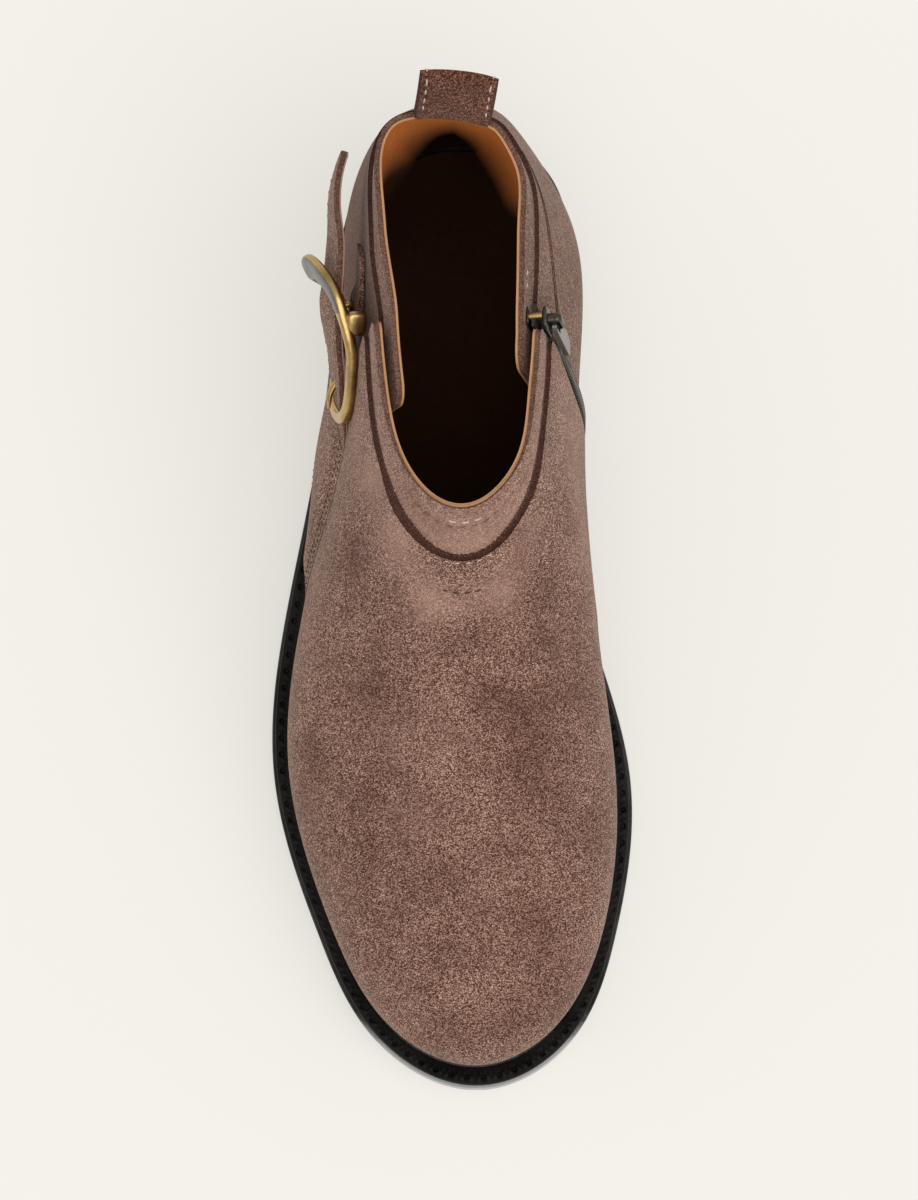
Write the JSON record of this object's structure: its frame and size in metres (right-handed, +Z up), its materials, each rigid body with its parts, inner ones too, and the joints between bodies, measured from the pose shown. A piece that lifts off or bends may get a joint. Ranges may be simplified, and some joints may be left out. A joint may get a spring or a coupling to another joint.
{
  "type": "ankle boot",
  "caption": "Right-foot suede ankle bootie with a low heel, a buckled strap on the outer side, a zip on the inner side and a pull loop at the back.",
  "frame": {"origin": "centre of the bounding box on the floor under the sole", "axes": "+X to the inner (medial) side of the foot, +Y to the heel, +Z up; the toe points to -Y"},
  "size_m": [0.0971, 0.2592, 0.1641],
  "materials": {
    "suede": "brushed taupe suede",
    "strap_suede": "dark brown suede",
    "loop_suede": "dark brown suede strip",
    "insole_leather": "smooth tan leather",
    "sole_rubber": "matte black",
    "welt_rubber": "satin black",
    "heel_rubber": "matte black",
    "antique_brass": "polished antique brass",
    "dark_zip_metal": "dark oxidised metal"
  },
  "bodies": {
    "boot": {"outsole": "sole_rubber", "heel": "heel_rubber", "welt": "welt_rubber", "insole": "insole_leather", "upper": "suede", "strap": "strap_suede", "buckle_tab": "strap_suede", "buckle_frame": "antique_brass", "buckle_prong": "antique_brass", "pull_loop": "loop_suede", "zip_chain": "dark_zip_metal", "zip_slider": "dark_zip_metal"},
    "pull": {"zip_pull": "antique_brass"}
  },
  "joints": [
    {"name": "zip_pull_hinge", "type": "hinge", "parent": "boot", "child": "pull", "pos_m": [0.02652, 0.05875, 0.12017], "axis": [0.022, -0.9896, 0.1424], "range_deg": [0, 170]}
  ]
}
